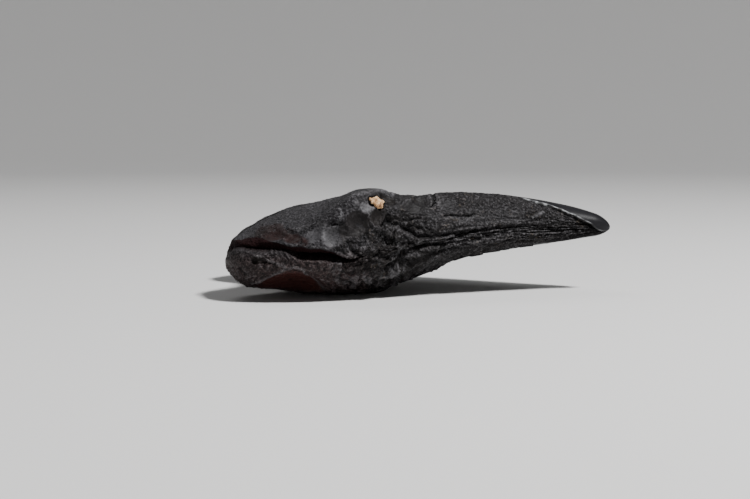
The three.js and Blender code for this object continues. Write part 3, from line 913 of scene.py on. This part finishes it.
class Shader:
    """A material, and short ways to add nodes to it."""

    def __init__(self, name):
        self.material = bpy.data.materials.new(name)
        self.material.use_nodes = True
        self.tree = self.material.node_tree
        self.surface = self.tree.nodes["Principled BSDF"]

    def put(self, socket, value):
        if isinstance(value, bpy.types.NodeSocket):
            self.tree.links.new(value, socket)
        else:
            socket.default_value = value

    def add(self, kind, inputs=(), **settings):
        node = self.tree.nodes.new("ShaderNode" + kind)
        for key, value in settings.items():
            setattr(node, key, value)
        for key, value in dict(inputs).items():
            self.put(node.inputs[key], value)
        return node

    def set(self, name, value):
        self.put(self.surface.inputs[name], value)

    def field(self, name):
        return self.add("Attribute", attribute_name=name).outputs["Fac"]

    def math(self, operation, a, b):
        return self.add("Math", {0: a, 1: b}, operation=operation, use_clamp=True).outputs[0]

    def product(self, total, *others):
        for other in others:
            total = self.math("MULTIPLY", total, other)
        return total

    def blend(self, share, a, b):
        """A colour from a, where share is 0, to b."""
        return self.add("Mix", {0: share, 6: a, 7: b}, data_type="RGBA").outputs[2]

    def level(self, share, a, b):
        """A number from a, where share is 0, to b."""
        return self.add("Mix", {0: share, 2: a, 3: b}, data_type="FLOAT").outputs[0]

    def range(self, value, low, high):
        return self.add("MapRange", {"Value": value, "From Min": low, "From Max": high}).outputs[0]

    def place(self, stretch=(1, 1, 1)):
        coordinate = self.add("TexCoord").outputs["Object"]
        return self.add("Mapping", {"Vector": coordinate, "Scale": stretch}).outputs[0]

    def noise(self, place, per_metre, detail, roughness=0.6):
        inputs = {"Vector": place, "Scale": per_metre, "Detail": detail, "Roughness": roughness}
        return self.add("TexNoise", inputs).outputs["Fac"]

    def patches(self, place, per_metre, detail):
        return self.range(self.noise(place, per_metre, detail), 0.35, 0.65)

    def bump(self, height, distance, strength, normal=None):
        inputs = {"Height": height, "Distance": distance, "Strength": strength}
        if normal is not None:
            inputs["Normal"] = normal
        return self.add("Bump", inputs).outputs[0]


def rgb(red, green, blue):
    return (red, green, blue, 1.0)


# The fossil's colours, dark and pale where there are two
DENTINE = rgb(0.007, 0.0062, 0.0065), rgb(0.013, 0.0119, 0.0123)
ROOT = rgb(0.0145, 0.0134, 0.0148), rgb(0.024, 0.0225, 0.0249)
# Warm root, partly painted reflected red light
WARM_ROOT_AND_RED_LIGHT = rgb(0.02, 0.0128, 0.0126), rgb(0.0335, 0.0225, 0.0222)
ENAMEL = rgb(0.006, 0.0058, 0.0066), rgb(0.0105, 0.0102, 0.0116)
ENAMEL_BLOOM = rgb(0.022, 0.0215, 0.024)
# Painted highlight along the enamel's broken edge
EDGE_HIGHLIGHT = rgb(0.26, 0.265, 0.27)
# Brown stains, partly painted shade and painted reflected red light
STAIN_SHADE_AND_RED_LIGHT, STAIN_AND_RED_LIGHT = rgb(0.015, 0.0042, 0.0038), rgb(0.036, 0.0125, 0.0105)
# Pale chalk, partly painted light; painted shade
CHALK_AND_HIGHLIGHT, SHADE = rgb(0.12, 0.118, 0.124), rgb(0.0062, 0.0044, 0.0036)
# Worn heights, partly painted highlight; painted shade in the crevices; dark pores
WORN_AND_HIGHLIGHT, CREVICE_SHADE, PORE = rgb(0.1, 0.095, 0.099), rgb(0.005, 0.0046, 0.005), rgb(0.005, 0.0045, 0.005)
# Pale specks, partly painted glints
SPECKS_AND_GLINTS, WARM_SPECKS_AND_GLINTS, RUSTY_SPECKS_AND_GLINTS = rgb(0.125, 0.12, 0.128), rgb(0.15, 0.118, 0.112), rgb(0.17, 0.128, 0.085)
# Painted shade with painted reflected red light in the cleft's undercut, and painted shadow in its gap
UNDERCUT_SHADE, GAP_SHADOW = rgb(0.0095, 0.0022, 0.0024), rgb(0.004, 0.0018, 0.0018)


def stained_colour(m, here, root):
    """Dentine in the crown and bone in the root, warmer low down partly with painted red light, and brown
    stains partly painted shade.
    """
    mottle = m.patches(here, 140, 5)
    bone = m.blend(m.field("warm_and_red_light"), m.blend(mottle, *ROOT), m.blend(mottle, *WARM_ROOT_AND_RED_LIGHT))
    colour = m.blend(root, m.blend(mottle, *DENTINE), bone)
    colour = m.blend(m.range(m.field("stain_and_red_light"), 0, 0.5), colour, STAIN_SHADE_AND_RED_LIGHT)
    return m.blend(m.range(m.field("stain_and_red_light"), 0.5, 1), colour, STAIN_AND_RED_LIGHT)


def light_shade_and_wear(m, colour, shade, grain):
    """Chalky parts and painted light, painted shade, worn heights partly painted highlight, and painted shade
    in crevices.
    """
    colour = m.blend(m.range(m.field("tint_light_and_shade"), 0, 1), colour, CHALK_AND_HIGHLIGHT)
    colour = m.blend(m.product(shade, 0.95), colour, SHADE)
    worn_and_lit = m.product(m.range(m.field("wear_light_and_shade"), 0.1, 0.8), m.range(grain, 0.36, 0.6), m.level(shade, 0.5, 0.1))
    colour = m.blend(worn_and_lit, colour, WORN_AND_HIGHLIGHT)
    return m.blend(m.product(m.range(m.field("wear_light_and_shade"), -0.05, -0.6), 0.75), colour, CREVICE_SHADE)


def speckled_colour(m, colour, here, root, shade, grain):
    """Pale specks, partly painted glints, in loose clusters, fewer where it is plain, shaded or brown, and
    dark pores.
    """
    rust_and_glints = m.product(m.range(m.noise(here, 240, 3), 0.56, 0.68), m.math("SUBTRACT", 1, root))
    specks_and_glints = m.blend(rust_and_glints, m.blend(m.field("warm_and_red_light"), SPECKS_AND_GLINTS, WARM_SPECKS_AND_GLINTS), RUSTY_SPECKS_AND_GLINTS)
    clusters = m.patches(here, 420, 2)
    amount = m.product(m.level(root, 0.42, 0.45), m.level(clusters, 0.4, 1.0),
                       m.level(m.field("plain"), 1.0, 0.2), m.level(shade, 1.0, 0.25),
                       m.math("SUBTRACT", 1, m.product(m.field("stain_and_red_light"), 0.55)))
    colour = m.blend(m.product(m.range(grain, 0.54, 0.66), amount), colour, specks_and_glints)
    return m.blend(m.product(m.range(grain, 0.46, 0.35), 0.6), colour, PORE)


def enamel_colour(m, streaks):
    """Black enamel with lengthwise streaks and a faint bloom."""
    shiny = m.blend(m.range(streaks, 0.35, 0.7), *ENAMEL)
    bloom = m.range(m.noise(m.place((0.3, 1, 1)), 190, 5, 0.6), 0.3, 0.75)
    return m.blend(m.product(bloom, 0.4), shiny, ENAMEL_BLOOM)


def tooth_material():
    m = Shader("fossil_tooth")
    here = m.place()
    enamel, root, shade = m.field("enamel"), m.field("root"), m.range(m.field("tint_light_and_shade"), 0, -1)
    grain = m.noise(m.place((1, 0.6, 1)), 1400, 2, 0.5)
    fine = m.noise(here, 3200, 2, 0.5)
    streaks = m.noise(m.place((0.12, 1, 1)), 1300, 5, 0.6)

    colour = light_shade_and_wear(m, stained_colour(m, here, root), shade, grain)
    colour = speckled_colour(m, colour, here, root, shade, grain)
    colour = m.blend(enamel, colour, enamel_colour(m, streaks))
    # Painted highlight on the enamel's broken edge, painted shade in the cleft's undercut and painted shadow
    # in its gap
    for mask, paint in (("edge_highlight", EDGE_HIGHLIGHT), ("under", UNDERCUT_SHADE), ("deep", GAP_SHADOW)):
        colour = m.blend(m.field(mask), colour, paint)
    m.set("Base Color", colour)
    m.set("Specular IOR Level", 0.12)

    rough = m.level(enamel, m.level(grain, 0.40, 0.60), m.level(fine, 0.30, 0.44))
    m.set("Roughness", m.level(m.field("under"), rough, 0.9))

    pits = m.bump(grain, 0.0009, m.level(enamel, m.level(m.field("plain"), 1.0, 0.25), 0.03))
    dust = m.bump(fine, 0.00018, m.level(enamel, 0.8, 0.2), pits)
    m.set("Normal", m.bump(streaks, 0.00015, m.level(enamel, 0.4, 0.2), dust))
    return m.material


# The sediment's colours: dark and pale sand, crumbs that stand out with a painted highlight, painted shade in
# the hollows between them, and dark grains
SAND = rgb(0.36, 0.195, 0.085), rgb(0.56, 0.34, 0.165)
CRUMBS_AND_HIGHLIGHT, HOLLOW_SHADE, DARK_GRAINS = rgb(0.68, 0.48, 0.285), rgb(0.15, 0.075, 0.035), rgb(0.12, 0.075, 0.05)


def sediment_material():
    m = Shader("sandy_matrix")
    here = m.place()
    grains = m.noise(here, 2600, 4, 0.7)
    colour = m.blend(m.patches(here, 700, 3), *SAND)
    colour = m.blend(m.range(m.field("wear_light_and_shade"), 0.2, 1.6), colour, CRUMBS_AND_HIGHLIGHT)
    colour = m.blend(m.range(m.field("wear_light_and_shade"), -0.4, -1.8), colour, HOLLOW_SHADE)
    colour = m.blend(m.range(grains, 0.62, 0.72), colour, DARK_GRAINS)
    m.set("Base Color", colour)
    m.set("Roughness", m.level(grains, 0.75, 0.95))
    m.set("Normal", m.bump(grains, 0.0003, 0.8))
    return m.material


# ---- stage, light and camera

# The floor: the radius of its flat part, how high its far edge curves up, and its rings and turns
FLAT_RADIUS, CURVE = 0.9, 0.7
FLAT_RINGS, CURVE_RINGS, TURNS = 6, 12, 96

# Lamps: name, place, diameter, watts
LAMPS = [
    ("key", (0.50, -0.38, 0.90), 0.18, 25),
    ("top", (-0.35, 0.45, 0.8), 0.6, 2),
]
LAMP_AIM = (0, 0, 0.015)
SKY, SKY_STRENGTH = rgb(0.95, 0.97, 1.0), 0.07

LENS, SENSOR = 85.0, 36.0
ELEVATION = math.radians(5)
DISTANCE = 0.62
MIDDLE = (0, 0, 0.0163)  # the point that the camera stands back from
OFF_CENTRE = (-0.015, -0.0023)  # metres from there to the point that it looks at, sideways and up


def pale_material():
    m = Shader("pale_floor")
    m.set("Base Color", rgb(0.6, 0.595, 0.59))
    m.set("Roughness", 0.9)
    return m.material


def make_floor():
    """A round pale floor whose far edge curves up, so that no horizon shows."""
    outline = [(radius, 0.0) for radius in np.linspace(0.02, FLAT_RADIUS, FLAT_RINGS)]
    climb = np.linspace(0, PI / 2, CURVE_RINGS)[1:]
    outline += [(FLAT_RADIUS + CURVE * math.sin(a), CURVE * (1 - math.cos(a))) for a in climb]
    angles = np.arange(TURNS) * 2 * PI / TURNS
    vertices = [(0, 0, 0)]
    for radius, height in outline:
        vertices += [(radius * math.cos(a), radius * math.sin(a), height) for a in angles]

    def spot(ring, turn):
        return 1 + ring * TURNS + turn % TURNS

    faces = [(0, spot(0, j), spot(0, j + 1)) for j in range(TURNS)]
    for i in range(len(outline) - 1):
        faces += [(spot(i, j), spot(i + 1, j), spot(i + 1, j + 1), spot(i, j + 1)) for j in range(TURNS)]
    floor = show("floor", smooth_mesh("floor", vertices, faces))
    floor.data.materials.append(pale_material())


def make_lamp(name, place, size, watts):
    data = bpy.data.lights.new(name, "AREA")
    data.shape, data.size, data.energy = "DISK", size, watts
    lamp = show(name, data)
    lamp.location = place
    way = Vector(LAMP_AIM) - Vector(place)
    lamp.rotation_euler = way.to_track_quat("-Z", "Y").to_euler()


def make_sky():
    world = bpy.data.worlds.new("studio")
    bpy.context.scene.world = world
    world.use_nodes = True
    background = world.node_tree.nodes["Background"]
    background.inputs["Color"].default_value = SKY
    background.inputs["Strength"].default_value = SKY_STRENGTH


def make_camera():
    data = bpy.data.cameras.new("camera")
    data.lens, data.sensor_width = LENS, SENSOR
    data.clip_start, data.clip_end = 0.01, 20
    camera = show("camera", data)
    middle = Vector(MIDDLE)
    forward = Vector((0, math.cos(ELEVATION), -math.sin(ELEVATION)))
    upward = Vector((0, math.sin(ELEVATION), math.cos(ELEVATION)))
    camera.location = middle - forward * DISTANCE
    aim = middle + Vector((1, 0, 0)) * OFF_CENTRE[0] + upward * OFF_CENTRE[1]
    camera.rotation_euler = (aim - camera.location).to_track_quat("-Z", "Y").to_euler()
    bpy.context.scene.camera = camera


# ---- the scene

make_camera()
make_floor()
for lamp in LAMPS:
    make_lamp(*lamp)
make_sky()
make_tooth()
make_sediment()
